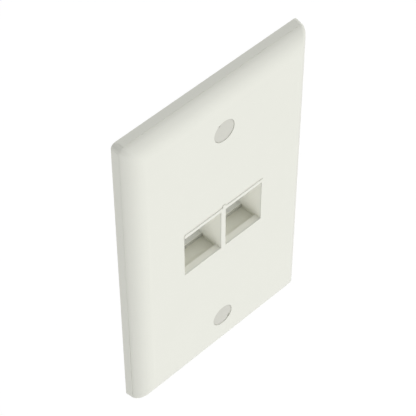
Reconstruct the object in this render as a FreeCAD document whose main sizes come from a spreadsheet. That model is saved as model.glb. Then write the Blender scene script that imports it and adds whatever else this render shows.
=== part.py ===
"""Two-port keystone faceplate for a single-gang wall box: moulded plate, screws and screw caps.

Frame: X is the width, Z is up, and the front looks along -Y. The rear rim of the plate, which
lies on the wall, is the plane Y = 0, and the origin is the middle of the plate on that plane.
Depths are measured back from the flat front face, so a depth d is at Y = d - plate_depth.
"""

import FreeCAD, Part
import math
import os
import re
import Sketcher

DIMENSIONS = [
    # the moulded plate
    ("plate_width", 69.85, "overall width of the rear rim"),
    ("plate_height", 114.3, "overall height of the rear rim"),
    ("plate_depth", 6.8, "wall plane to flat front face"),
    ("side_depth", 2.7, "height of the straight side wall above the wall plane"),
    ("side_inset", 0.3, "draft of the side wall over its height"),
    ("crown_run", 6.2, "from the rear rim's edge inward to where the crown meets the front face"),
    ("corner_radius", 1.7, "round along each corner, from the rim up the crown's mitre"),
    ("inner_radius", 0.8, "round along each corner of the hollow back"),
    ("skin", 2.2, "wall thickness of the moulding"),
    # the two keystone ports
    ("port_width", 14.8, "clear width of a port"),
    ("port_height", 16.85, "clear height of a port's front opening"),
    ("port_gap", 1.74, "width of the rib between the ports"),
    ("port_rise", 0.3, "height of the ports' middle above the plate's middle"),
    ("port_depth", 10.9, "front face to the rear end of the port frame"),
    ("frame_wall", 1.5, "wall of the port frame around the recesses"),
    ("frame_radius", 1.0, "outer corner radius of the port frame"),
    ("sill_depth", 2.3, "front wall in front of the hook recess"),
    ("hook_length", 5.9, "front-to-back length of the recess for the jack's fixed hook"),
    ("hook_drop", 1.25, "depth of the hook recess below the port's floor"),
    ("floor_chamfer", 0.6, "lead-in at the rear edge of the floor"),
    ("brow_depth", 2.3, "front wall in front of the latch recess"),
    ("latch_rise", 2.0, "height of the latch recess above the port's ceiling"),
    ("catch_depth", 8.2, "front face to the step that the jack's latch snaps behind"),
    ("catch_rise", 0.9, "clearance of the catch step above the port's ceiling"),
    ("catch_land", 0.8, "flat crest of the catch step"),
    ("lead_in_rise", 0.9, "rise of the sloped lead-in behind the catch"),
    # the raised brow over the ports
    ("brow_height", 1.2, "height of the raised brow above a port"),
    ("brow_proud", 0.3, "height of the brow above the front face"),
    ("brow_peak", 0.8, "height of the small peak in the middle of the brow"),
    ("brow_peak_width", 1.0, "width of that peak"),
    # the stiffening ribs on the back
    ("rib_thickness", 1.1, "thickness of a stiffening rib"),
    ("rib_height", 2.0, "height of a stiffening rib behind the front wall"),
    # the screw seats
    ("screw_spacing", 83.34, "distance between the two screws"),
    ("cap_bore", 7.8, "bore that takes the screw cap"),
    ("cap_seat_depth", 2.3, "front face to the shoulder that the cap's skirt rests on"),
    ("head_bore", 7.1, "bore that takes the screw head"),
    ("head_seat_depth", 4.3, "front face to the seat of the screw head"),
    ("screw_hole", 4.1, "clearance hole for the screw's shank"),
    ("boss_wall", 1.3, "wall of the boss around the cap's bore"),
    ("boss_setback", 1.2, "gap between the boss's end and the wall plane"),
    # the push-in screw caps
    ("cap_clearance", 0.05, "gap all round between cap and bore"),
    ("cap_sink", 0.28, "cap's front below the front face"),
    ("cap_disc", 0.9, "thickness of the cap's disc"),
    ("cap_skirt", 0.7, "wall of the cap's skirt"),
    ("cap_edge", 0.12, "chamfer round the cap's front"),
    ("notch_width", 0.9, "width of the pry notch in the cap's rim"),
    ("notch_depth", 0.5, "depth of the pry notch"),
    ("upper_cap_turn", -30.0, "turn of the upper cap's notch from the top, in degrees"),
    ("lower_cap_turn", 130.0, "turn of the lower cap's notch from the top, in degrees"),
    # the number 6 machine screws
    ("head_diameter", 6.6, "screw head"),
    ("head_height", 1.9, "screw head from seat to crown"),
    ("head_rim", 0.7, "straight rim of the screw head"),
    ("neck_diameter", 3.0, "plain neck between the head and the thread"),
    ("neck_length", 1.5, "length of the plain neck"),
    ("shank_diameter", 3.5, "major diameter of the thread"),
    ("shank_length", 9.525, "shank from the head's seat to its end"),
    ("point_chamfer", 0.5, "chamfer at the shank's end"),
    ("slot_width", 1.2, "driver slot across the head"),
    ("slot_depth", 0.9, "depth of the driver slot"),

    ("cut_margin", 1.0, "how far a cut starts outside the surface it enters"),
]

doc = FreeCAD.newDocument("keystone_faceplate")
sheet = doc.addObject("Spreadsheet::Sheet", "dims")
for row, (alias, value, meaning) in enumerate(DIMENSIONS, start=1):
    sheet.set(f"A{row}", meaning)
    sheet.set(f"B{row}", str(value))
    sheet.setAlias(f"B{row}", alias)
doc.recompute()

ALIASES = {alias for alias, value, meaning in DIMENSIONS}

# Lengths that follow from the sheet, as expressions.
CROWN_DROP = "(plate_depth - side_depth)"
CROWN_WIDTH = "(crown_run - side_inset)"
CROWN_RADIUS = f"(({CROWN_DROP}^2 + {CROWN_WIDTH}^2) / (2 * {CROWN_DROP}))"
FACE_SKIN_MIDDLE = "(plate_depth - skin / 2)"
PORT_FLOOR = "(port_rise - port_height / 2)"
PORT_CEILING = "(port_rise + port_height / 2)"
PORT_SIDE = "(port_gap / 2 + port_width)"
FRAME_BOTTOM = f"({PORT_FLOOR} - hook_drop - frame_wall)"
FRAME_TOP = f"({PORT_CEILING} + latch_rise + frame_wall)"
FRAME_SIDE = f"({PORT_SIDE} + frame_wall)"
CAP_RADIUS = "(cap_bore / 2 - cap_clearance)"

AHEAD = "(plate_depth + cut_margin)"

# Two lengths closer than this are the same.
SAME_PLACE = 0.001


def on_sheet(expression):
    """The expression with each alias written as a cell of the sheet."""
    def cell(word):
        return "dims." + word.group() if word.group() in ALIASES else word.group()
    return re.sub(r"[a-z][a-z_]*", cell, expression)


def number(expression):
    """The expression's present value in millimetres or degrees."""
    value = sheet.evalExpression(on_sheet(expression))
    return float(getattr(value, "Value", value))


def bind(item, path, expression):
    item.setExpression(path, on_sheet(expression))


def origin_plane(body, role):
    return next(plane for plane in body.Origin.OriginFeatures if plane.Role == role)


def new_body(label):
    body = doc.addObject("PartDesign::Body", label)
    body.Label = label
    return body


def new_sketch(body, name, role, offset="0"):
    """A sketch on one of the body's own planes, moved along the plane's normal."""
    sketch = body.newObject("Sketcher::SketchObject", name)
    sketch.AttachmentSupport = [(origin_plane(body, role), "")]
    sketch.MapMode = "FlatFace"
    bind(sketch, "AttachmentOffset.Base.z", offset)
    return sketch


def name_last(sketch, name, expression):
    """Names the sketch's newest constraint and binds it to an expression."""
    sketch.renameConstraint(sketch.ConstraintCount - 1, name)
    bind(sketch, f"Constraints.{name}", expression)


def locate(sketch, name, geometry, point, x, y):
    """Holds a point of a sketch at x and y from the sketch's origin."""
    for kind, letter, place in (("DistanceX", "x", x), ("DistanceY", "y", y)):
        sketch.addConstraint(Sketcher.Constraint(kind, -1, 1, geometry, point, number(place)))
        name_last(sketch, f"{name}_{letter}", place)


def draw_outline(sketch, corners, arcs=()):
    """A closed outline through corners given as pairs of expressions.

    arcs names the corners that an arc leaves, each with the arc's crest and radius.
    """
    arcs = dict(arcs)
    first = sketch.GeometryCount
    points = [FreeCAD.Vector(number(x), number(y), 0) for x, y in corners]
    for index, start in enumerate(points):
        end = points[(index + 1) % len(points)]
        if index in arcs:
            crest = FreeCAD.Vector(*[number(place) for place in arcs[index][0]], 0)
            if (crest - start).cross(end - crest).z < 0:
                start, end = end, start
            sketch.addGeometry(Part.Arc(start, crest, end), False)
        else:
            sketch.addGeometry(Part.LineSegment(start, end), False)
    for index in range(len(points)):
        after = (index + 1) % len(points)
        here, there = first + index, first + after
        leaving = 2 if swept_backwards(sketch.Geometry[here], points[index]) else 1
        next_leaving = 2 if swept_backwards(sketch.Geometry[there], points[after]) else 1
        sketch.addConstraint(
            Sketcher.Constraint("Coincident", here, 3 - leaving, there, next_leaving))
        locate(sketch, f"corner_{here}", here, leaving, *corners[index])
    for index, (crest, radius) in arcs.items():
        arc = first + index
        sketch.addConstraint(Sketcher.Constraint("Radius", arc, number(radius)))
        name_last(sketch, f"radius_{arc}", radius)


def swept_backwards(curve, start):
    """Whether a sketch curve's first end is the far one, as arcs are stored anticlockwise."""
    return curve.StartPoint.distanceToPoint(start) > curve.EndPoint.distanceToPoint(start)


def draw_rounded_rectangle(sketch, left, right, bottom, top, radius):
    """A rectangle with four equal round corners, its sides given as expressions."""
    corner = number(radius)
    west, east = number(left) + corner, number(right) - corner
    south, north = number(bottom) + corner, number(top) - corner
    centres = [(east, north), (west, north), (west, south), (east, south)]
    for quarter, (x, y) in enumerate(centres):
        circle = Part.Circle(FreeCAD.Vector(x, y, 0), FreeCAD.Vector(0, 0, 1), corner)
        start = quarter * math.pi / 2
        sketch.addGeometry(Part.ArcOfCircle(circle, start, start + math.pi / 2), False)
    for arc in range(4):
        start = sketch.Geometry[arc].EndPoint
        end = sketch.Geometry[(arc + 1) % 4].StartPoint
        sketch.addGeometry(Part.LineSegment(start, end), False)
    for arc in range(4):
        side = arc + 4
        sketch.addConstraint(Sketcher.Constraint("Tangent", arc, 2, side, 1))
        sketch.addConstraint(Sketcher.Constraint("Tangent", side, 2, (arc + 1) % 4, 1))
        if arc:
            sketch.addConstraint(Sketcher.Constraint("Equal", 0, arc))
    sketch.addConstraint(Sketcher.Constraint("Radius", 0, corner))
    name_last(sketch, "corner", radius)
    sides = [("Horizontal", "DistanceY", top), ("Vertical", "DistanceX", left),
             ("Horizontal", "DistanceY", bottom), ("Vertical", "DistanceX", right)]
    for side, (direction, kind, place) in enumerate(sides, start=4):
        sketch.addConstraint(Sketcher.Constraint(direction, side))
        sketch.addConstraint(Sketcher.Constraint(kind, -1, 1, side, 1, number(place)))
        name_last(sketch, f"side_{side}", place)


def draw_circles(sketch, centres, diameter):
    """Equal circles at centres given as pairs of expressions."""
    for index, (x, y) in enumerate(centres):
        middle = FreeCAD.Vector(number(x), number(y), 0)
        circle = Part.Circle(middle, FreeCAD.Vector(0, 0, 1), number(diameter) / 2)
        sketch.addGeometry(circle, False)
        locate(sketch, f"centre_{index}", index, 3, x, y)
        sketch.addConstraint(Sketcher.Constraint("Diameter", index, number(diameter)))
        name_last(sketch, f"diameter_{index}", diameter)


def prism(body, kind, name, sketch, length, symmetric=False):
    """A Pad or Pocket of a sketch over a length."""
    feature = body.newObject(f"PartDesign::{kind}", name)
    feature.Profile = sketch
    if symmetric:
        feature.SideType = "Symmetric"
    bind(feature, "Length", length)
    return feature


def solid_volume(body):
    doc.recompute()
    return body.Shape.Volume


def cut_border(body, name, role, half_size, offset, length):
    """Cuts the border along two opposite sides: a drafted wall, then a crown.

    The crown is a circular arc that ends tangent to the front. Offset draws it all inward.
    """
    radius, width = f"({CROWN_RADIUS} - {offset})", f"({CROWN_WIDTH} - {offset})"
    drop = f"({radius} - sqrt(abs({radius}^2 - {width}^2)))"
    front = f"(plate_depth - {offset})"
    rim, face_edge = f"({half_size} - {offset})", f"({half_size} - crown_run)"
    beyond = f"({half_size} + cut_margin)"
    outline = [(rim, "0"), (f"({rim} - side_inset)", f"-({front} - {drop})"),
               (face_edge, f"-{front}"), (face_edge, f"-{AHEAD}"),
               (beyond, f"-{AHEAD}"), (beyond, "0")]
    turn = f"(asin({width} / {radius}) / 2)"
    crest = (f"({face_edge} + {radius} * sin({turn}))",
             f"-({front} - {radius} * (1 - cos({turn})))")
    sketch = new_sketch(body, f"{name}_profile", role)
    for sign in ("", "-"):
        corners = [(sign + run, level) for run, level in outline]
        top = (sign + crest[0], crest[1])
        if role == "YZ_Plane":
            corners = [(level, run) for run, level in corners]
            top = top[::-1]
        draw_outline(sketch, corners, arcs=[(1, (top, radius))])
    before = solid_volume(body)
    prism(body, "Pocket", name, sketch, length, symmetric=True)
    if solid_volume(body) >= before:
        raise RuntimeError(f"{name} cuts nothing")


def corner_edges(body, rear=None, front=None):
    """Names of the edges that climb the plate's corners and end at the given levels, if any.

    Each lies on a corner's diagonal, as far in from the side as from the end, and its levels
    are heights above the wall plane.
    """
    half_width, half_height = number("plate_width / 2"), number("plate_height / 2")
    names = []
    for index, edge in enumerate(body.Shape.Edges, start=1):
        ends = [vertex.Point for vertex in edge.Vertexes]
        levels = sorted(-end.y for end in ends)
        diagonal = all(same(half_width - abs(end.x), half_height - abs(end.z)) for end in ends)
        starts = rear is None or same(levels[0], number(rear))
        stops = front is None or same(levels[-1], number(front))
        if diagonal and starts and stops and not same(levels[0], levels[-1]):
            names.append(f"Edge{index}")
    return names


def same(length, other):
    return math.isclose(length, other, abs_tol=SAME_PLACE)


def round_edges(body, name, edges, radius):
    sharp = body.Tip
    fillet = body.newObject("PartDesign::Fillet", name)
    fillet.Base = (sharp, edges)
    bind(fillet, "Radius", radius)
    doc.recompute()


def dished_form(body, offset, corner):
    """A block with its border cut along all four sides and its rim's corners rounded."""
    half_width, half_height = "(plate_width / 2)", "(plate_height / 2)"
    right, top = f"({half_width} - {offset})", f"({half_height} - {offset})"
    rim = new_sketch(body, f"{body.Label}_rim", "XZ_Plane")
    draw_outline(rim, [(right, top), (f"-{right}", top), (f"-{right}", f"-{top}"),
                       (right, f"-{top}")])
    prism(body, "Pad", f"{body.Label}_block", rim, f"plate_depth - {offset}")
    cut_border(body, f"{body.Label}_sides", "XY_Plane", half_width, offset,
               "plate_height + 2 * cut_margin")
    cut_border(body, f"{body.Label}_ends", "YZ_Plane", half_height, offset,
               "plate_width + 2 * cut_margin")
    round_edges(body, f"{body.Label}_rim_corners", corner_edges(body, rear="0"), corner)


def moulded_skin(body):
    """The outer form less a core of the same form, an even wall inside it.

    The round of an outer mitre narrows to nothing where the crowns run out in the front face.
    The rim's rounds already run on over the mitres where the crown starts in line with the wall.
    """
    dished_form(body, "0", "corner_radius")
    mitres = corner_edges(body, front="plate_depth")
    if mitres:
        round_edges(body, "mitres", mitres, "corner_radius")
    core = new_body("core")
    dished_form(core, "skin", "inner_radius")
    before = solid_volume(body)
    hollow = body.newObject("PartDesign::Boolean", "hollow")
    hollow.Type = "Cut"
    hollow.setObjects([core])
    if solid_volume(body) >= before:
        raise RuntimeError("the core cuts nothing")


def rib_end(half_size):
    """Corners of a rib's end, buried in the middle of the rim's wall and of the crown."""
    radius = f"({CROWN_RADIUS} - skin / 2)"
    corners = []
    for share in (1, 0.4, 0):
        below = f"((skin / 2 + rib_height) * {share})"
        inset = f"(crown_run - sqrt(abs({below} * (2 * {radius} - {below}))))"
        corners.append((f"-({FACE_SKIN_MIDDLE} - {below})", f"({half_size} - {inset})"))
    return corners


def stiffening_rib(body, name, role, place):
    """A rib right across the back, its ends buried in the rim."""
    along_z = role == "YZ_Plane"
    half_size = "(plate_height / 2)" if along_z else "(plate_width / 2)"
    far_end = rib_end(half_size)
    near_end = [(y, f"-{run}") for y, run in reversed(far_end)]
    corners = far_end + near_end
    if not along_z:
        corners = [(run, y) for y, run in corners]
    sketch = new_sketch(body, f"{name}_profile", role, place)
    draw_outline(sketch, corners)
    prism(body, "Pad", name, sketch, "rib_thickness", symmetric=True)
    doc.recompute()


def cut_ports(body):
    """One port's whole section, cut across its width, and its mirror image beside it."""
    front = f"-{AHEAD}"
    rear = "(port_depth - plate_depth)"
    sill, hook_end = "(sill_depth - plate_depth)", "(sill_depth + hook_length - plate_depth)"
    brow, catch = "(brow_depth - plate_depth)", "(catch_depth - plate_depth)"
    recess_floor = f"({PORT_FLOOR} - hook_drop)"
    recess_roof = f"({PORT_CEILING} + latch_rise)"
    crest = f"({PORT_CEILING} + catch_rise)"
    section = [
        (front, PORT_FLOOR), (sill, PORT_FLOOR), (sill, recess_floor),
        (hook_end, recess_floor), (hook_end, PORT_FLOOR),
        (f"({rear} - floor_chamfer)", PORT_FLOOR), (rear, f"({PORT_FLOOR} - floor_chamfer)"),
        (rear, f"({crest} + lead_in_rise)"), (f"({catch} + catch_land)", crest),
        (catch, crest), (catch, recess_roof), (brow, recess_roof),
        (brow, PORT_CEILING), (front, PORT_CEILING),
    ]
    sketch = new_sketch(body, "port_section", "YZ_Plane", "(port_gap + port_width) / 2")
    draw_outline(sketch, section)
    before = solid_volume(body)
    port = prism(body, "Pocket", "port", sketch, "port_width", symmetric=True)
    doc.recompute()
    if body.Shape.Volume >= before:
        raise RuntimeError("the port cuts nothing")
    pair = body.newObject("PartDesign::Mirrored", "ports")
    pair.Originals = [port]
    pair.MirrorPlane = (origin_plane(body, "YZ_Plane"), [""])
    body.Tip = pair
    doc.recompute()


def make_faceplate():
    body = new_body("faceplate")
    moulded_skin(body)

    stiffening_rib(body, "rib_left", "YZ_Plane", f"-({FRAME_SIDE} - rib_thickness / 2)")
    stiffening_rib(body, "rib_right", "YZ_Plane", f"{FRAME_SIDE} - rib_thickness / 2")
    stiffening_rib(body, "rib_top", "XY_Plane", f"{FRAME_TOP} - rib_thickness / 2")
    stiffening_rib(body, "rib_bottom", "XY_Plane", f"{FRAME_BOTTOM} + rib_thickness / 2")

    screw_places = [("0", "screw_spacing / 2"), ("0", "-screw_spacing / 2")]
    boss_circles = new_sketch(body, "boss_circles", "XZ_Plane", "boss_setback")
    draw_circles(boss_circles, screw_places, "cap_bore + 2 * boss_wall")
    prism(body, "Pad", "bosses", boss_circles, f"{FACE_SKIN_MIDDLE} - boss_setback")

    frame_rear = new_sketch(body, "frame_outline", "XZ_Plane", "plate_depth - port_depth")
    draw_rounded_rectangle(frame_rear, f"-{FRAME_SIDE}", FRAME_SIDE, FRAME_BOTTOM, FRAME_TOP,
                           "frame_radius")
    prism(body, "Pad", "port_frame", frame_rear,
          f"{FACE_SKIN_MIDDLE} + port_depth - plate_depth")

    brow_top = f"({PORT_CEILING} + brow_height)"
    peak_side, peak_top = "(brow_peak_width / 2)", f"({brow_top} + brow_peak)"
    brow = new_sketch(body, "brow_outline", "XZ_Plane", FACE_SKIN_MIDDLE)
    draw_outline(brow, [
        (f"-{PORT_SIDE}", PORT_CEILING), (PORT_SIDE, PORT_CEILING), (PORT_SIDE, brow_top),
        (peak_side, brow_top), (peak_side, peak_top), (f"-{peak_side}", peak_top),
        (f"-{peak_side}", brow_top), (f"-{PORT_SIDE}", brow_top),
    ])
    prism(body, "Pad", "brow", brow, "skin / 2 + brow_proud")

    cut_ports(body)

    before = solid_volume(body)
    cap_circles = new_sketch(body, "cap_circles", "XZ_Plane", AHEAD)
    draw_circles(cap_circles, screw_places, "cap_bore")
    prism(body, "Pocket", "cap_bores", cap_circles, "cap_seat_depth + cut_margin")
    hole_circles = new_sketch(body, "hole_circles", "XZ_Plane", AHEAD)
    draw_circles(hole_circles, screw_places, "screw_hole")
    doc.recompute()
    holes = body.newObject("PartDesign::Hole", "screw_holes")
    holes.Profile = hole_circles
    doc.recompute()
    holes.DepthType = "ThroughAll"
    holes.HoleCutType = "Counterbore"
    holes.HoleCutCustomValues = True
    bind(holes, "Diameter", "screw_hole")
    bind(holes, "HoleCutDiameter", "head_bore")
    bind(holes, "HoleCutDepth", "head_seat_depth + cut_margin")
    if solid_volume(body) >= before:
        raise RuntimeError("the screw holes cut nothing")
    return body


def turn_about_front(body, angle, height):
    """Places a body that is turned about the front-to-back axis and raised."""
    body.Placement = FreeCAD.Placement(
        FreeCAD.Vector(0, 0, 0), FreeCAD.Rotation(FreeCAD.Vector(0, 1, 0), 1))
    bind(body, "Placement.Rotation.Angle", angle)
    bind(body, "Placement.Base.z", height)


def make_screw_cap(label, turn, height):
    """A push-in cap: a disc with a skirt that stands on the shoulder in the bore."""
    body = new_body(label)
    front, back = "(cap_sink - plate_depth)", "(cap_sink + cap_disc - plate_depth)"
    foot = "(cap_seat_depth - plate_depth)"
    skirt_inside = f"({CAP_RADIUS} - cap_skirt)"
    profile = new_sketch(body, f"{label}_profile", "YZ_Plane")
    draw_outline(profile, [
        (front, "0"), (front, f"({CAP_RADIUS} - cap_edge)"),
        (f"({front} + cap_edge)", CAP_RADIUS), (foot, CAP_RADIUS), (foot, skirt_inside),
        (back, skirt_inside), (back, "0"),
    ])
    turned = body.newObject("PartDesign::Revolution", f"{label}_turned")
    turned.Profile = profile
    turned.ReferenceAxis = (profile, ["H_Axis"])
    turned.Angle = 360
    before = solid_volume(body)
    notch = new_sketch(body, f"{label}_notch_outline", "XZ_Plane", "plate_depth - cap_sink")
    draw_circles(notch, [("0", CAP_RADIUS)], "notch_width")
    prism(body, "Pocket", f"{label}_notch", notch, "notch_depth")
    if solid_volume(body) >= before:
        raise RuntimeError("the notch cuts nothing")
    turn_about_front(body, turn, height)
    return body


def make_screw(label, height):
    """A number 6 machine screw with an oval head, on the seat in the boss."""
    body = new_body(label)
    seat = "(head_seat_depth - plate_depth)"
    crown, shoulder = f"({seat} - head_height)", f"({seat} - head_rim)"
    tip = f"({seat} + shank_length)"
    head_radius, shank_radius = "(head_diameter / 2)", "(shank_diameter / 2)"
    profile = new_sketch(body, f"{label}_profile", "YZ_Plane")
    dome = "(head_height - head_rim)"
    dome_radius = f"(({head_radius}^2 + {dome}^2) / (2 * {dome}))"
    dome_half_way = (f"({crown} + {dome_radius} - sqrt({dome_radius}^2 - {head_radius}^2 / 4))",
                     f"({head_radius} / 2)")
    neck_radius, neck_end = "(neck_diameter / 2)", f"({seat} + neck_length)"
    draw_outline(profile, [
        (tip, "0"), (tip, f"({shank_radius} - point_chamfer)"),
        (f"({tip} - point_chamfer)", shank_radius), (neck_end, shank_radius),
        (neck_end, neck_radius), (seat, neck_radius), (seat, head_radius),
        (shoulder, head_radius), (crown, "0"),
    ], arcs=[(7, (dome_half_way, dome_radius))])
    turned = body.newObject("PartDesign::Revolution", f"{label}_turned")
    turned.Profile = profile
    turned.ReferenceAxis = (profile, ["H_Axis"])
    turned.Angle = 360
    before = solid_volume(body)
    slot = new_sketch(body, f"{label}_slot_outline", "XZ_Plane",
                      "plate_depth - head_seat_depth + head_height")
    half_slot = "(slot_width / 2)"
    draw_outline(slot, [(head_radius, half_slot), (f"-{head_radius}", half_slot),
                        (f"-{head_radius}", f"-{half_slot}"), (head_radius, f"-{half_slot}")])
    prism(body, "Pocket", f"{label}_slot", slot, "slot_depth")
    if solid_volume(body) >= before:
        raise RuntimeError("the slot cuts nothing")
    turn_about_front(body, "0", height)
    return body


parts = [
    make_faceplate(),
    make_screw_cap("screw_cap_upper", "upper_cap_turn", "screw_spacing / 2"),
    make_screw_cap("screw_cap_lower", "lower_cap_turn", "-screw_spacing / 2"),
    make_screw("screw_upper", "screw_spacing / 2"),
    make_screw("screw_lower", "-screw_spacing / 2"),
]
doc.recompute()

for item in doc.Objects:
    if "Invalid" in item.State or "Error" in item.State:
        raise RuntimeError(f"{item.Label} did not compute: {item.State}")
for part in parts:
    if part.Shape.isNull() or not part.Shape.isValid() or len(part.Shape.Solids) != 1:
        raise RuntimeError(f"{part.Label} is not one valid solid")

os.makedirs("parts", exist_ok=True)
for part in parts:
    part.Shape.exportStep(os.path.join("parts", f"{part.Label}.step"))
    box = part.Shape.BoundBox
    print(part.Label, round(part.Shape.Volume, 1), "mm3,",
          [round(size, 2) for size in (box.XMin, box.XMax, box.YMin, box.YMax, box.ZMin, box.ZMax)])
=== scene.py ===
"""Two-port keystone faceplate: the looks of the moulded plate, its screw caps and its screws."""

import math

import bmesh
import bpy
import numpy as np
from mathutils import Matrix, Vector


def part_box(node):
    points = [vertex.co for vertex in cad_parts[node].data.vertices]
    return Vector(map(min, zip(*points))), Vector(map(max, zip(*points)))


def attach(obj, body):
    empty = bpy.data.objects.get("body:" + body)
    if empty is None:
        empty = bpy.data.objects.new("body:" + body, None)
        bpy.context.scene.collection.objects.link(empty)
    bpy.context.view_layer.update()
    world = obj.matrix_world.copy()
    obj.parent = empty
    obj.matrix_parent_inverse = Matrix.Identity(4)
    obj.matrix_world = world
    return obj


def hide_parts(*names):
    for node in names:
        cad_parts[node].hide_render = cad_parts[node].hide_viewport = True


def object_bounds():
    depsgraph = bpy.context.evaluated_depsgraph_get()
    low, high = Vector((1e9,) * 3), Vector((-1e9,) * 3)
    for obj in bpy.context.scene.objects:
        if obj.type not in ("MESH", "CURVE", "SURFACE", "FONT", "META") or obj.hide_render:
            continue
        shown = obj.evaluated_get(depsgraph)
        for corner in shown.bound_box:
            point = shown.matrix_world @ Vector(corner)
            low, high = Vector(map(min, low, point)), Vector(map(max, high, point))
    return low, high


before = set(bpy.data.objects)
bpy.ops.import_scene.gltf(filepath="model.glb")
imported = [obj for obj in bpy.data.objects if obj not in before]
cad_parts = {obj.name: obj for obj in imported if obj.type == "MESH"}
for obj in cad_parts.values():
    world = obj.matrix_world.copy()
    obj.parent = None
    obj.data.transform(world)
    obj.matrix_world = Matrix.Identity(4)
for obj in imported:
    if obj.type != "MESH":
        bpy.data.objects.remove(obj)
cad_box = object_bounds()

bl_info = {
    "name": "Keystone Faceplate",
    "version": (1, 0, 0),
    "blender": (4, 5, 0),
    "location": "3D View > Sidebar > Faceplate",
    "description": "Dresses a two-port keystone faceplate with its screw caps and screws",
    "category": "Object",
}


MM = 0.001


class Value:
    """A node's output. Sums on it add Math nodes, and node() adds any other node."""

    def __init__(self, tree, socket=None):
        self.tree = tree
        self.socket = socket

    def node(self, kind, settings=None, sockets=None, output=0):
        """Adds a node: its settings first, then its sockets by name or number."""
        made = self.tree.nodes.new(kind)
        for name, setting in (settings or {}).items():
            setattr(made, name, setting)
        for key, value in (sockets or {}).items():
            if isinstance(value, Value):
                self.tree.links.new(value.socket, made.inputs[key])
            else:
                made.inputs[key].default_value = value
        return Value(self.tree, made.outputs[output] if made.outputs else None)

    def beside(self, name):
        """Another output of this value's node."""
        return Value(self.tree, self.socket.node.outputs[name])

    def maths(self, operation, *values):
        return self.node("ShaderNodeMath", {"operation": operation}, dict(enumerate(values)))

    def __add__(self, other):
        return self.maths("ADD", self, other)

    def __sub__(self, other):
        return self.maths("SUBTRACT", self, other)

    def __rsub__(self, other):
        return self.maths("SUBTRACT", other, self)

    def __mul__(self, other):
        return self.maths("MULTIPLY", self, other)

    def __rmul__(self, other):
        return self.maths("MULTIPLY", other, self)

    def between(self, low, high):
        """A colour that runs from low to high as this value runs from 0 to 1."""
        return self.node("ShaderNodeMix", {"data_type": "RGBA"}, {0: self, 6: low, 7: high}, 2)


def new_material(name):
    """An empty material and a Value to add its nodes with."""
    material = bpy.data.materials.new(name)
    material.use_nodes = True
    material.node_tree.nodes.clear()
    return material, Value(material.node_tree)


def opaque(colour):
    return (*colour, 1.0)


def within(place, low, high, soft):
    """One inside a box, falling to nought over a soft distance outside its sides."""
    inside = 1.0
    for axis in range(3):
        along = place.node("ShaderNodeSeparateXYZ", None, {0: place}, axis)
        for edge, way in ((low[axis], -1), (high[axis], 1)):
            inside = inside * along.node("ShaderNodeMapRange", None, {
                0: along, 1: edge + way * soft, 2: edge})
    return inside


# How a surface varies: the scales of its noise, how dark its darkest shade is beside its
# written colour, and the ranges of its roughness.
CLOUD_SCALE, DARK_SHADE = 90.0, 0.9
GRAIN_GLOSS, CLOUD_GLOSS, PLASTIC_SPECULAR = 0.08, 0.06, 0.2
GRAIN_HEIGHT = 0.2
STEEL_SCALE, STEEL_SHADE, PAINT_SHADE, STEEL_GLOSS = 900.0, 0.8, 0.96, 0.2
PAINT_EDGE = 0.05 * MM


def moulded_plastic(name, looks, painted_light_and_shade=()):
    """Satin moulded plastic: a fine spark-eroded grain, with faint shifts of colour and gloss.

    Each hollow given is the two corners of a box and a colour painted on the plastic in it.
    It is the same plastic: the colour is painted light where it is lighter than the
    plastic's own and painted shade where it is darker, standing in for how the light
    gathers there.
    """
    material, tree = new_material(name)
    place = tree.node("ShaderNodeTexCoord", output=3)
    grain = tree.node("ShaderNodeTexNoise", None, {
        "Vector": place, "Scale": 1.0 / looks.grain_size, "Detail": 2.0})
    cloud = tree.node("ShaderNodeTexNoise", None, {
        "Vector": place, "Scale": CLOUD_SCALE, "Detail": 3.0})
    flow = (cloud - 0.5) * looks.flow_shift + 0.5
    shade = tuple(part * DARK_SHADE for part in looks.colour)
    colour = flow.between(opaque(shade), opaque([part * 2 - dark for part, dark
                                                 in zip(looks.colour, shade)]))
    # Lays each box's painted light or painted shade over the plastic's own colour.
    for low, high, painted_colour in painted_light_and_shade:
        colour = within(place, low, high, HOLLOW_EDGE).between(colour, opaque(painted_colour))
    rough = (grain - 0.5) * GRAIN_GLOSS + (cloud - 0.5) * CLOUD_GLOSS + looks.roughness
    bump = tree.node("ShaderNodeBump", None, {
        "Strength": looks.grain_strength, "Distance": looks.grain_size * GRAIN_HEIGHT,
        "Height": grain})
    shader = tree.node("ShaderNodeBsdfPrincipled", None, {
        "Base Color": colour, "Roughness": rough, "Normal": bump,
        "Specular IOR Level": PLASTIC_SPECULAR})
    tree.node("ShaderNodeOutputMaterial", None, {"Surface": shader})
    return material


def painted_steel(name, looks, seat):
    """Zinc-plated steel with an uneven bright finish, enamelled in front of the head's seat."""
    material, tree = new_material(name)
    place = tree.node("ShaderNodeTexCoord", output=3)
    cloud = tree.node("ShaderNodeTexNoise", None, {
        "Vector": place, "Scale": STEEL_SCALE, "Detail": 4.0})
    depth = tree.node("ShaderNodeSeparateXYZ", None, {0: place}, "Y")
    bare = depth.maths("GREATER_THAN", depth, seat - PAINT_EDGE)
    dark = tuple(part * STEEL_SHADE for part in looks.steel_colour)
    steel = cloud.between(opaque(dark), opaque(looks.steel_colour))
    smear = tuple(part * PAINT_SHADE for part in looks.paint_colour)
    paint = cloud.between(opaque(smear), opaque(looks.paint_colour))
    roughness = (cloud - 0.5) * STEEL_GLOSS + looks.steel_roughness
    shader = tree.node("ShaderNodeBsdfPrincipled", None, {
        "Base Color": bare.between(paint, steel), "Roughness": roughness, "Metallic": bare})
    tree.node("ShaderNodeOutputMaterial", None, {"Surface": shader})
    return material


def length(name, description, millimetres):
    return bpy.props.FloatProperty(
        name=name, description=description, subtype="DISTANCE", unit="LENGTH", precision=5,
        min=0.0, default=millimetres * MM)


def colour_of(name, description, colour):
    return bpy.props.FloatVectorProperty(
        name=name, description=description, subtype="COLOR", size=3, min=0.0, max=1.0,
        default=colour)


def share(name, description, default):
    return bpy.props.FloatProperty(
        name=name, description=description, subtype="FACTOR", min=0.0, max=1.0,
        default=default)


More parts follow.
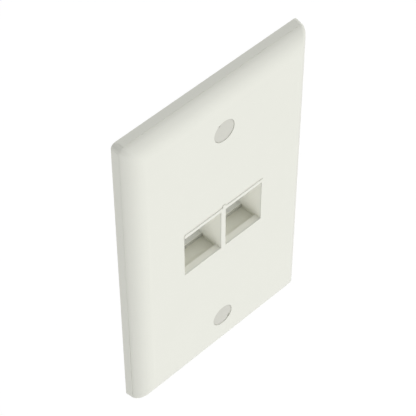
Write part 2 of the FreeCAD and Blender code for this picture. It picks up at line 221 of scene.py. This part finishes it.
def turn(name, description, degrees):
    return bpy.props.FloatProperty(
        name=name, description=description, subtype="ANGLE", unit="ROTATION",
        default=math.radians(degrees))


class PlateLooks(bpy.types.PropertyGroup):
    edge_round: length("Edge round", "Round on the moulding's edges", 0.07)
    parting_line: length("Parting line", "Depth of the fine line round the crown's foot", 0.07)
    colour: colour_of("Colour", "Colour of the moulded plate", (0.70, 0.705, 0.645))
    roughness: share("Roughness", "Roughness of the moulded surface", 0.5)
    grain_size: length("Grain size", "Size of the moulded grain", 0.35)
    grain_strength: share("Grain strength", "How strongly the grain shows", 0.15)
    flow_shift: share("Flow shift", "Shift of colour where the plastic flowed", 0.12)
    # Painted light: the ports' walls, sill and floor are coloured lighter than the plate,
    # standing in for light.
    port_painted_light: colour_of("Port colour", "Tint that makes up for the light in the ports",
                           (0.765, 0.765, 0.69))
    # Painted shade: the hook recesses are coloured darker than the ports' painted light.
    recess_painted_shade: colour_of("Recess colour", "The same for the hook recesses",
                             (0.70, 0.70, 0.61))
    # Painted shade: the wall that ends each hook recess is coloured darker still.
    recess_end_painted_shade: colour_of("Recess end colour", "The same for the wall that ends each recess",
                          (0.55, 0.55, 0.495))


class CapLooks(bpy.types.PropertyGroup):
    edge_round: length("Edge round", "Round on the cap's rim", 0.2)
    spread: length("Spread", "How far the rim spreads against its bore", 0.02)
    crown: length("Crown", "How far the disc's middle bulges forward of its rim", 0.08)
    lift: length("Lift", "How far the rim stands forward of a fully pressed cap", 0.12)
    disc: length("Disc", "Thickness of the cap's disc", 0.9)
    skirt: length("Skirt", "Wall of the cap's skirt", 0.7)
    notch_width: length("Notch width", "Width of the round notch for prying", 1.3)
    notch_depth: length("Notch depth", "Depth of that notch", 0.32)
    upper_turn: turn("Upper turn", "Turn of the upper cap's notch from the top", -30.0)
    lower_turn: turn("Lower turn", "Turn of the lower cap's notch from the top", 130.0)
    colour: colour_of("Colour", "Colour of the screw caps", (0.55, 0.549, 0.50))
    roughness: share("Roughness", "Roughness of the screw caps", 0.5)
    grain_size: length("Grain size", "Size of the moulded grain", 0.3)
    grain_strength: share("Grain strength", "How strongly the grain shows", 0.2)
    flow_shift: share("Flow shift", "Shift of colour where the plastic flowed", 0.12)


class ScrewLooks(bpy.types.PropertyGroup):
    head_height: length("Head", "Screw head from its seat to its crown", 1.9)
    head_rim: length("Head rim", "Straight rim of the head", 0.7)
    slot_width: length("Slot width", "Width of the driver slot", 1.2)
    slot_depth: length("Slot depth", "Depth of the driver slot", 0.9)
    neck: length("Neck", "Diameter of the plain neck", 3.0)
    neck_length: length("Neck length", "Length of the plain neck", 1.5)
    thread: length("Thread", "Outer diameter of the thread", 3.5)
    pitch: length("Pitch", "Distance from one turn of the thread to the next", 0.794)
    thread_depth: length("Thread depth", "Depth of the thread", 0.45)
    paint_colour: colour_of("Paint", "Colour of the enamelled head", (0.72, 0.72, 0.67))
    steel_colour: colour_of("Steel", "Colour of the zinc-plated shank", (0.62, 0.62, 0.63))
    steel_roughness: share("Roughness", "Roughness of the zinc plating", 0.34)


class StageLooks(bpy.types.PropertyGroup):
    light_level: bpy.props.FloatProperty(
        name="Light", description="Level of all the light that falls on the plate",
        min=0.0, max=4.0, default=1.2)
    floor_colour: colour_of("Floor", "Colour of the floor", (0.80, 0.80, 0.79))
    floor_drop: bpy.props.FloatProperty(
        name="Floor drop", description="How far the floor lies below the plate",
        subtype="DISTANCE", unit="LENGTH", min=0.0, default=0.4)
    lens: bpy.props.FloatProperty(
        name="Lens", description="Focal length of the camera",
        subtype="DISTANCE_CAMERA", unit="CAMERA", min=1.0, default=149.79)


def new_piece(name, points, faces):
    """A piece of the object from its points and the corner numbers of its faces."""
    mesh = bpy.data.meshes.new(name)
    mesh.from_pydata(points, [], faces)
    mesh.update()
    piece = bpy.data.objects.new(name, mesh)
    bpy.context.scene.collection.objects.link(piece)
    return piece


def grid_faces(rows, columns, start=0):
    """The four-cornered faces of a grid of points, row by row."""
    corner = start + np.arange(rows * columns).reshape(rows, columns)
    return np.stack([corner[:-1, :-1], corner[1:, :-1], corner[1:, 1:], corner[:-1, 1:]],
                    axis=-1).reshape(-1, 4)


def grid_mesh(name, points):
    """A piece whose surface is a grid of points."""
    rows, columns = points.shape[:2]
    return new_piece(name, points.reshape(-1, 3), grid_faces(rows, columns))


# How near points are one, the shortest edge that is kept, and the sharpest smooth turn.
JOIN_REACH, SHORTEST_EDGE, SHARP_TURN = 0.0005 * MM, 0.0002 * MM, 30.0


def finish_mesh(piece):
    """Joins doubled points, closes poles, turns the faces outward and shades them softly."""
    shape = bmesh.new()
    shape.from_mesh(piece.data)
    bmesh.ops.remove_doubles(shape, verts=shape.verts, dist=JOIN_REACH)
    bmesh.ops.dissolve_degenerate(shape, edges=shape.edges, dist=SHORTEST_EDGE)
    bmesh.ops.recalc_face_normals(shape, faces=shape.faces)
    shape.to_mesh(piece.data)
    shape.free()
    piece.data.shade_smooth()
    piece.data.set_sharp_from_angle(angle=math.radians(SHARP_TURN))


def eased(corners, easing, steps=4):
    """An outline through corners given as pairs, each corner rounded by a parabola.

    A point there is (1 - t)^2 a + 2 t (1 - t) c + t^2 b: c is the corner, and a and b lie
    on the sides that meet in it, the corner's easing away from it.
    """
    corners, easing = np.array(corners, float), np.array(easing, float)[:, None]
    back, ahead = np.roll(corners, 1, axis=0) - corners, np.roll(corners, -1, axis=0) - corners
    a = corners + back / np.linalg.norm(back, axis=1, keepdims=True) * easing
    b = corners + ahead / np.linalg.norm(ahead, axis=1, keepdims=True) * easing
    t = np.linspace(0.0, 1.0, steps + 1)[:, None, None]
    curve = (1 - t) ** 2 * a + 2 * t * (1 - t) * corners + t ** 2 * b
    return curve.transpose(1, 0, 2).reshape(-1, 2)


def turned(radius, level, turns, height):
    """A grid round the axis that runs front to back at that height.

    A point is at x = r sin a, z = height + r cos a, for its radius r and its turn a, and
    at its own level in y. radius and level have a row for each step of the profile.
    """
    radius, level = np.broadcast_arrays(radius, level)
    return np.stack([radius * np.sin(turns), level, height + radius * np.cos(turns)], axis=-1)


def place_piece(piece, node):
    """Hangs the piece on the root body and hides the CAD piece that it stands for."""
    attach(piece, "root")
    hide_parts(node)


# The space that the two ports take, the hook recesses in their floors, how far the painted
# shade of a recess's end reaches forward, and how softly the painted light and shade end.
PORTS_SIDE, PORT_FRONT = 15.75 * MM, -6.2 * MM
HOOK_FLOOR, HOOK_TOP, HOOK_REAR, LATCH_ROOF = -9.4 * MM, -8.23 * MM, 1.45 * MM, 10.8 * MM
HOOK_END = 0.25 * MM
HOLLOW_EDGE = 0.1 * MM
# Where the crown starts, the margin that tells the outside from the rest, and the groove.
CROWN_FOOT, OUTSIDE = -2.7 * MM, 1.0 * MM
CREASE_REACH, GROOVE_HALF, GROOVE_REACH = 0.002 * MM, 0.05 * MM, 0.06 * MM
GROOVE_BOTTOM = 0.01 * MM
# Angles between faces, in degrees: what counts as flat, what is rounded, what is smooth.
FLAT_TURN, ROUND_TURN, SMOOTH_TURN = 0.5, 30.0, 28.0
MERGE_REACH = 0.001 * MM


class OBJECT_OT_faceplate(bpy.types.Operator):
    """Makes the moulded plate"""

    bl_idname = "object.keystone_faceplate"
    bl_label = "Faceplate"

    def execute(self, context):
        looks = context.scene.plate_looks
        plate = merged_copy("moulded_plate", "faceplate", looks.parting_line,
                            looks.edge_round)
        weigh = plate.modifiers.new("flat_faces", "WEIGHTED_NORMAL")
        weigh.keep_sharp = True
        # Painted light in the ports, and painted shade in the hook recesses and on their end
        # walls.
        ports = ((-PORTS_SIDE, PORT_FRONT, HOOK_FLOOR), (PORTS_SIDE, HOOK_REAR, LATCH_ROOF),
                 looks.port_painted_light)
        recesses = ((-PORTS_SIDE, PORT_FRONT, HOOK_FLOOR), (PORTS_SIDE, HOOK_REAR, HOOK_TOP),
                    looks.recess_painted_shade)
        ends = ((-PORTS_SIDE, HOOK_REAR - HOOK_END, HOOK_FLOOR),
                (PORTS_SIDE, HOOK_REAR, HOOK_TOP), looks.recess_end_painted_shade)
        plate.data.materials.append(moulded_plastic("plate_plastic", looks,
                                                    (ports, recesses, ends)))
        place_piece(plate, "faceplate")
        return {"FINISHED"}


def at_crown_foot(edge, reach):
    """Whether an edge runs round the outside within reach of where the crown starts."""
    side, top = cad_box[1][0] - OUTSIDE, cad_box[1][2] - OUTSIDE
    return all(abs(point.co.y - CROWN_FOOT) < reach and
               (abs(point.co.x) > side or abs(point.co.z) > top) for point in edge.verts)


def merged_copy(name, node, line_depth, edge_round):
    """A copy of a CAD piece with its points joined and its flat faces made whole again.

    Its outward edges that turn by more than 30 degrees are rounded, and its inward ones
    stay crisp. Where the crown starts, the mould's parting line is a fine groove: the
    crease is widened to two strips, and the line between them drawn in by its depth.
    """
    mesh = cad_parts[node].data.copy()
    mesh.name = name
    mesh.materials.clear()
    shape = bmesh.new()
    shape.from_mesh(mesh)
    bmesh.ops.remove_doubles(shape, verts=shape.verts, dist=MERGE_REACH)
    bmesh.ops.dissolve_limit(shape, angle_limit=math.radians(FLAT_TURN), verts=shape.verts,
                             edges=shape.edges, use_dissolve_boundaries=False)
    crease = [edge for edge in shape.edges if at_crown_foot(edge, CREASE_REACH)]
    bmesh.ops.bevel(shape, geom=crease, offset=GROOVE_HALF, segments=2, affect="EDGES")
    corners = [edge for edge in shape.edges if not at_crown_foot(edge, GROOVE_REACH)
               and edge.calc_face_angle_signed(0.0) > math.radians(ROUND_TURN)]
    rounds = set(bmesh.ops.bevel(shape, geom=corners, offset=edge_round, segments=3,
                                 profile=0.5, affect="EDGES", clamp_overlap=True)["faces"])
    for edge in shape.edges:
        rounded = sum(face in rounds for face in edge.link_faces)
        plain = abs(edge.calc_face_angle_signed(0.0)) < math.radians(SMOOTH_TURN)
        in_groove = at_crown_foot(edge, GROOVE_REACH)
        edge.smooth = rounded == 2 or (rounded == 0 and plain and not in_groove)
    for face in shape.faces:
        face.smooth = True
    shape.to_mesh(mesh)
    shape.free()
    points = np.empty(len(mesh.vertices) * 3)
    mesh.vertices.foreach_get("co", points)
    points = points.reshape(-1, 3)
    half = np.array(cad_box[1])
    outside = (np.abs(points) > half - OUTSIDE)[:, [0, 2]].any(axis=1)
    bottom = outside & (np.abs(points[:, 1] - CROWN_FOOT) < GROOVE_BOTTOM)
    drawn_in = 1.0 - line_depth / np.array([half[0], np.inf, half[2]])
    points = np.where(bottom[:, None], points * drawn_in, points)
    mesh.vertices.foreach_set("co", points.ravel())
    mesh.update()
    piece = bpy.data.objects.new(name, mesh)
    bpy.context.scene.collection.objects.link(piece)
    return piece


# Points round a cap, across its notch, out along its disc and over its rim, and the
# easings of its skirt's foot and of the corner under its disc.
CAP_TURNS, NOTCH_TURNS, DISC_STEPS, RIM_STEPS = 129, 25, 9, 6
FOOT_EASING, UNDER_EASING = 0.12 * MM, 0.15 * MM


def cap_surface(box, looks, notch_turn):
    """A cap's surface: a profile of a disc and its skirt, turned about the screw's axis.

    The disc bulges by its crown times 1 - (r / S)^2, where S is the radius at which the rim's
    shoulder starts.

    The notch is a round hole on the rim. Along a turn t from its middle it reaches in to
    r = R cos t - sqrt(w^2 - (R sin t)^2), for the cap's radius R and half the notch's width w.
    """
    (left, front, low), (right, foot, high) = box
    whole, half_notch = (right - left) / 2 + looks.spread, looks.notch_width / 2
    front = front - looks.lift
    reach = math.asin(half_notch / whole)
    turns = np.unique(np.concatenate([
        np.linspace(-math.pi, math.pi, CAP_TURNS), np.linspace(-reach, reach, NOTCH_TURNS)]))
    inside = np.clip(half_notch ** 2 - (whole * np.sin(turns)) ** 2, 0.0, None)
    cut = np.where(np.abs(turns) <= reach, whole * np.cos(turns) - np.sqrt(inside), whole)
    shoulder = 3 * looks.edge_round
    rim = eased([(-shoulder, 0.0), (0.0, 0.0), (0.0, looks.notch_depth)],
                [0.0, looks.edge_round, 0.0], steps=RIM_STEPS)
    face = np.linspace(0.0, 1.0, DISC_STEPS)[:-1, None] * (cut - shoulder)
    bulge = looks.crown * (1.0 - (face / (whole - shoulder)) ** 2)
    top = cut + rim[:, :1]
    skirt = eased([(whole, looks.notch_depth + front), (whole, foot),
                   (whole - looks.skirt, foot), (whole - looks.skirt, front + looks.disc),
                   (0.0, front + looks.disc)],
                  [0.0, FOOT_EASING, FOOT_EASING, UNDER_EASING, 0.0])
    flat = np.ones_like(turns)
    radius = np.concatenate([face, top, skirt[:, :1] * flat])
    level = np.concatenate([front - bulge, (front + rim[:, 1:]) * flat,
                            skirt[:, 1:] * flat])
    return turned(radius, level, turns + notch_turn, (low + high) / 2)


class OBJECT_OT_screw_caps(bpy.types.Operator):
    """Makes the two screw caps"""

    bl_idname = "object.keystone_screw_caps"
    bl_label = "Screw caps"

    def execute(self, context):
        looks = context.scene.cap_looks
        plastic = moulded_plastic("cap_plastic", looks)
        for place, notch_turn in (("upper", looks.upper_turn), ("lower", looks.lower_turn)):
            node = f"screw_cap_{place}"
            cap = grid_mesh(f"pushed_cap_{place}", cap_surface(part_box(node), looks, notch_turn))
            finish_mesh(cap)
            cap.data.materials.append(plastic)
            place_piece(cap, node)
        return {"FINISHED"}


# Points across a head outside its slot and inside it, and along it; the easing of its seat
# and neck.
SIDE_STEPS, SLOT_STEPS, CHORD_STEPS, HEAD_EASING = 14, 4, 41, 0.1 * MM
# Points along the thread and round it, how far it starts inside the neck, how deep its
# tapers reach, and the slope of its wave with the height that the flat crest cuts off.
THREAD_STEPS, THREAD_TURNS, THREAD_START = 170, 49, 0.3 * MM
START_TAPER, TIP_TAPER = 0.05 * MM, 0.5 * MM
WAVE_SLOPE, WAVE_FLAT = 1.3, 0.15


def head_surface(radius, seat, height, looks):
    """A slotted oval head: its dome and slot, then its rim, its seat and its neck.

    The dome is a grid of rows along the slot. A row at p across it is as long as the
    head's chord there, 2 sqrt(R^2 - p^2), and its level is the dome's, or inside the slot
    the rearer of the dome's and the slot's floor. The rest is that grid's edge drawn
    towards the axis by a profile of shares of the radius and levels.
    """
    dome = looks.head_height - looks.head_rim
    sphere = (radius ** 2 + dome ** 2) / (2 * dome)
    half_slot = looks.slot_width / 2
    side = radius * np.sin(np.linspace(math.asin(half_slot / radius), math.pi / 2, SIDE_STEPS))
    slot = np.linspace(-half_slot, half_slot, SLOT_STEPS)
    across = np.concatenate([-side[::-1], slot, side])
    in_slot = np.zeros(len(across), bool)
    in_slot[len(side):len(side) + len(slot)] = True
    along = np.sin(np.linspace(-math.pi / 2, math.pi / 2, CHORD_STEPS))
    chord = np.sqrt(np.clip(radius ** 2 - across ** 2, 0.0, None))
    x, z = chord[:, None] * along, across[:, None] + 0.0 * along
    crown = seat - looks.head_height
    level = crown + sphere - np.sqrt(sphere ** 2 - x ** 2 - z ** 2)
    floor = np.where(in_slot[:, None], crown + looks.slot_depth, crown)
    top = np.stack([x, np.maximum(level, floor), z + height], axis=-1)
    edge = np.concatenate([top[:, 0], top[::-1, -1]])
    neck = looks.neck / 2 / radius
    outline = eased([(1.0, seat - looks.head_rim), (1.0, seat), (neck, seat),
                     (neck, seat + looks.neck_length), (0.0, seat + looks.neck_length)],
                    [0.0, HEAD_EASING, 0.0, HEAD_EASING, 0.0])
    shares, levels = outline[:, :1], outline[:, 1:]
    around = np.concatenate([edge, edge[:1]])
    rest = np.stack([shares * around[:, 0], levels + 0.0 * around[:, 0],
                     height + shares * (around[:, 2] - height)], axis=-1)
    return top, rest


def thread_surface(seat, tip, height, looks):
    """The thread, as the shank's radius over turn a and level y.

    The radius falls from the crest by the thread's depth times a wave of the phase
    y / pitch - a / 2 pi. The wave is 1 at the root, 0 at the crest, and straight between,
    with flats at both. Both ends taper at 45 degrees.
    """
    crest, start = looks.thread / 2, seat + looks.neck_length - THREAD_START
    level = np.linspace(start, tip, THREAD_STEPS)[:, None]
    turns = np.linspace(-math.pi, math.pi, THREAD_TURNS)
    phase = np.mod(level / looks.pitch - turns / (2 * math.pi), 1.0)
    wave = np.clip(WAVE_SLOPE * (1.0 - np.abs(2.0 * phase - 1.0)) - WAVE_FLAT, 0.0, 1.0)
    root = crest - looks.thread_depth
    radius = crest - looks.thread_depth * wave
    radius = np.minimum(radius, root - START_TAPER + (level - start))
    radius = np.minimum(radius, crest - TIP_TAPER + (tip - level))
    centre = np.zeros((1, len(turns)))
    radius = np.concatenate([centre, radius, centre])
    level = np.concatenate([level[:1], level, level[-1:]])
    return turned(radius, level, turns, height)


class OBJECT_OT_screws(bpy.types.Operator):
    """Makes the two screws"""

    bl_idname = "object.keystone_screws"
    bl_label = "Screws"

    def execute(self, context):
        looks = context.scene.screw_looks
        for place in ("upper", "lower"):
            node = f"screw_{place}"
            (left, crown, low), (right, tip, high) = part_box(node)
            seat, height = crown + looks.head_height, (low + high) / 2
            head, neck = head_surface((right - left) / 2, seat, height, looks)
            thread = thread_surface(seat, tip, height, looks)
            points, faces, start = [], [], 0
            for grid in (head, neck, thread):
                points.append(grid.reshape(-1, 3))
                faces.append(grid_faces(*grid.shape[:2], start))
                start += len(points[-1])
            screw = new_piece(f"slotted_screw_{place}", np.concatenate(points),
                              np.concatenate(faces))
            finish_mesh(screw)
            screw.data.materials.append(painted_steel("screw_finish", looks, seat))
            place_piece(screw, node)
        return {"FINISHED"}


# Where the soft light comes from, and how strong it is there: a fit to the picture's
# brightness.
LIGHTS = [
    ((-1, -1, -1), 1.535),
    ((-1, -1, 0), 0.261),
    ((-1, 1, -1), 0.011),
    ((-1, 1, 0), 0.600),
    ((0, -1, 0), 0.710),
    ((0, 1, 0), 1.890),
    ((1, -1, 0), 0.548),
    ((1, -1, 1), 1.070),
    ((1, 0, 1), 0.696),
]


def shown_rays(tree):
    """One for what the camera sees, itself or in a reflection, and nought for other light."""
    path = tree.node("ShaderNodeLightPath")
    shown = path.maths("MAXIMUM", path, path.beside("Is Glossy Ray"))
    return path.maths("MAXIMUM", shown, path.beside("Is Transmission Ray"))


def light_surroundings(scene, looks):
    """A white surround, whose light on the plate is a sum of soft lobes.

    A lobe is its strength times the fourth power of the cosine between its direction and
    the ray's, where that cosine is above nought.
    """
    world = bpy.data.worlds.new("surroundings")
    scene.world = world
    world.use_nodes = True
    world.node_tree.nodes.clear()
    tree = Value(world.node_tree)
    toward = tree.node("ShaderNodeTexCoord")
    level = 0.0
    for direction, strength in LIGHTS:
        facing = toward.node("ShaderNodeVectorMath", {"operation": "DOT_PRODUCT"}, {
            0: toward, 1: Vector(direction).normalized()}, "Value")
        square = facing.maths("MAXIMUM", facing, 0.0) * facing
        level = square * square * (strength * looks.light_level) + level
    shown = shown_rays(tree)
    white = tree.node("ShaderNodeBackground", None, {
        "Color": (1.0, 1.0, 1.0, 1.0), "Strength": shown + (1.0 - shown) * level})
    tree.node("ShaderNodeOutputWorld", None, {"Surface": white})


FLOOR_HALF, FLOOR_POINTS, FLOOR_SCALE, FLOOR_SHADE = 3.0, 33, 3.0, 0.97
FLOOR_GLOW, GLOW_SHARE = 1.05, 0.9


def lay_floor(scene, looks):
    """A pale floor well below the plate: a flat square grid of points.

    It takes the plate's shadow, and keeps none of the soft light from the plate.
    """
    across = np.linspace(-FLOOR_HALF, FLOOR_HALF, FLOOR_POINTS)
    x, y = np.meshgrid(across, across, indexing="ij")
    z = np.full_like(x, cad_box[0][2] - looks.floor_drop)
    floor = grid_mesh("floor", np.stack([x, y, z], axis=-1))
    floor.visible_diffuse = floor.visible_shadow = False
    material, tree = new_material("floor_paint")
    place = tree.node("ShaderNodeTexCoord", output=3)
    cloud = tree.node("ShaderNodeTexNoise", None, {"Vector": place, "Scale": FLOOR_SCALE})
    dark = tuple(part * FLOOR_SHADE for part in looks.floor_colour)
    paint = tree.node("ShaderNodeBsdfDiffuse", None, {
        "Color": cloud.between(opaque(dark), opaque(looks.floor_colour))})
    white = tree.node("ShaderNodeEmission", None, {"Strength": FLOOR_GLOW})
    surface = tree.node("ShaderNodeMixShader", None, {
        0: shown_rays(tree) * GLOW_SHARE, 1: paint, 2: white})
    tree.node("ShaderNodeOutputMaterial", None, {"Surface": surface})
    floor.data.materials.append(material)


# What the picture's camera looks at, from which turn and height in degrees, and how far off.
CAMERA_TARGET = Vector((0.000309, 0.0, 0.003395))
CAMERA_TURN, CAMERA_RISE, CAMERA_DISTANCE, SENSOR_WIDTH = -44.139, 49.442, 0.50543, 36.0


def place_camera(scene, looks):
    """Puts the camera where the perspective fit of the picture found it."""
    lens = bpy.data.cameras.new("camera")
    lens.lens, lens.sensor_width = looks.lens, SENSOR_WIDTH
    lens.clip_start, lens.clip_end = 0.05, 20.0
    camera = bpy.data.objects.new("camera", lens)
    azimuth, rise = math.radians(CAMERA_TURN), math.radians(CAMERA_RISE)
    back = Vector((math.sin(azimuth) * math.cos(rise), -math.cos(azimuth) * math.cos(rise),
                   math.sin(rise)))
    camera.location = CAMERA_TARGET + back * CAMERA_DISTANCE
    camera.rotation_euler = (-back).to_track_quat("-Z", "Y").to_euler()
    scene.collection.objects.link(camera)
    scene.camera = camera


class OBJECT_OT_stage(bpy.types.Operator):
    """Makes the floor, the light and the camera"""

    bl_idname = "object.keystone_stage"
    bl_label = "Stage"

    def execute(self, context):
        scene = context.scene
        scene.view_settings.view_transform = "Standard"
        light_surroundings(scene, scene.stage_looks)
        lay_floor(scene, scene.stage_looks)
        place_camera(scene, scene.stage_looks)
        return {"FINISHED"}


class VIEW3D_PT_faceplate(bpy.types.Panel):
    """The faceplate's pieces, in the order they are made"""

    bl_label = "Keystone faceplate"
    bl_space_type = "VIEW_3D"
    bl_region_type = "UI"
    bl_category = "Faceplate"

    def draw(self, context):
        for group, operator in PIECES:
            box = self.layout.box()
            box.operator(operator.bl_idname)
            looks = getattr(context.scene, group)
            for name in looks.bl_rna.properties.keys():
                if name not in ("rna_type", "name"):
                    box.prop(looks, name)


PIECES = [
    ("plate_looks", OBJECT_OT_faceplate),
    ("cap_looks", OBJECT_OT_screw_caps),
    ("screw_looks", OBJECT_OT_screws),
    ("stage_looks", OBJECT_OT_stage),
]
GROUPS = {"plate_looks": PlateLooks, "cap_looks": CapLooks, "screw_looks": ScrewLooks,
          "stage_looks": StageLooks}
CLASSES = [*GROUPS.values(), *(operator for group, operator in PIECES), VIEW3D_PT_faceplate]


def register():
    for kind in CLASSES:
        bpy.utils.register_class(kind)
    for name, group in GROUPS.items():
        setattr(bpy.types.Scene, name, bpy.props.PointerProperty(type=group))


def unregister():
    for name in GROUPS:
        delattr(bpy.types.Scene, name)
    for kind in reversed(CLASSES):
        bpy.utils.unregister_class(kind)


def main():
    register()
    bpy.ops.object.keystone_faceplate()
    bpy.ops.object.keystone_screw_caps()
    bpy.ops.object.keystone_screws()
    bpy.ops.object.keystone_stage()


if __name__ == "__main__":
    main()
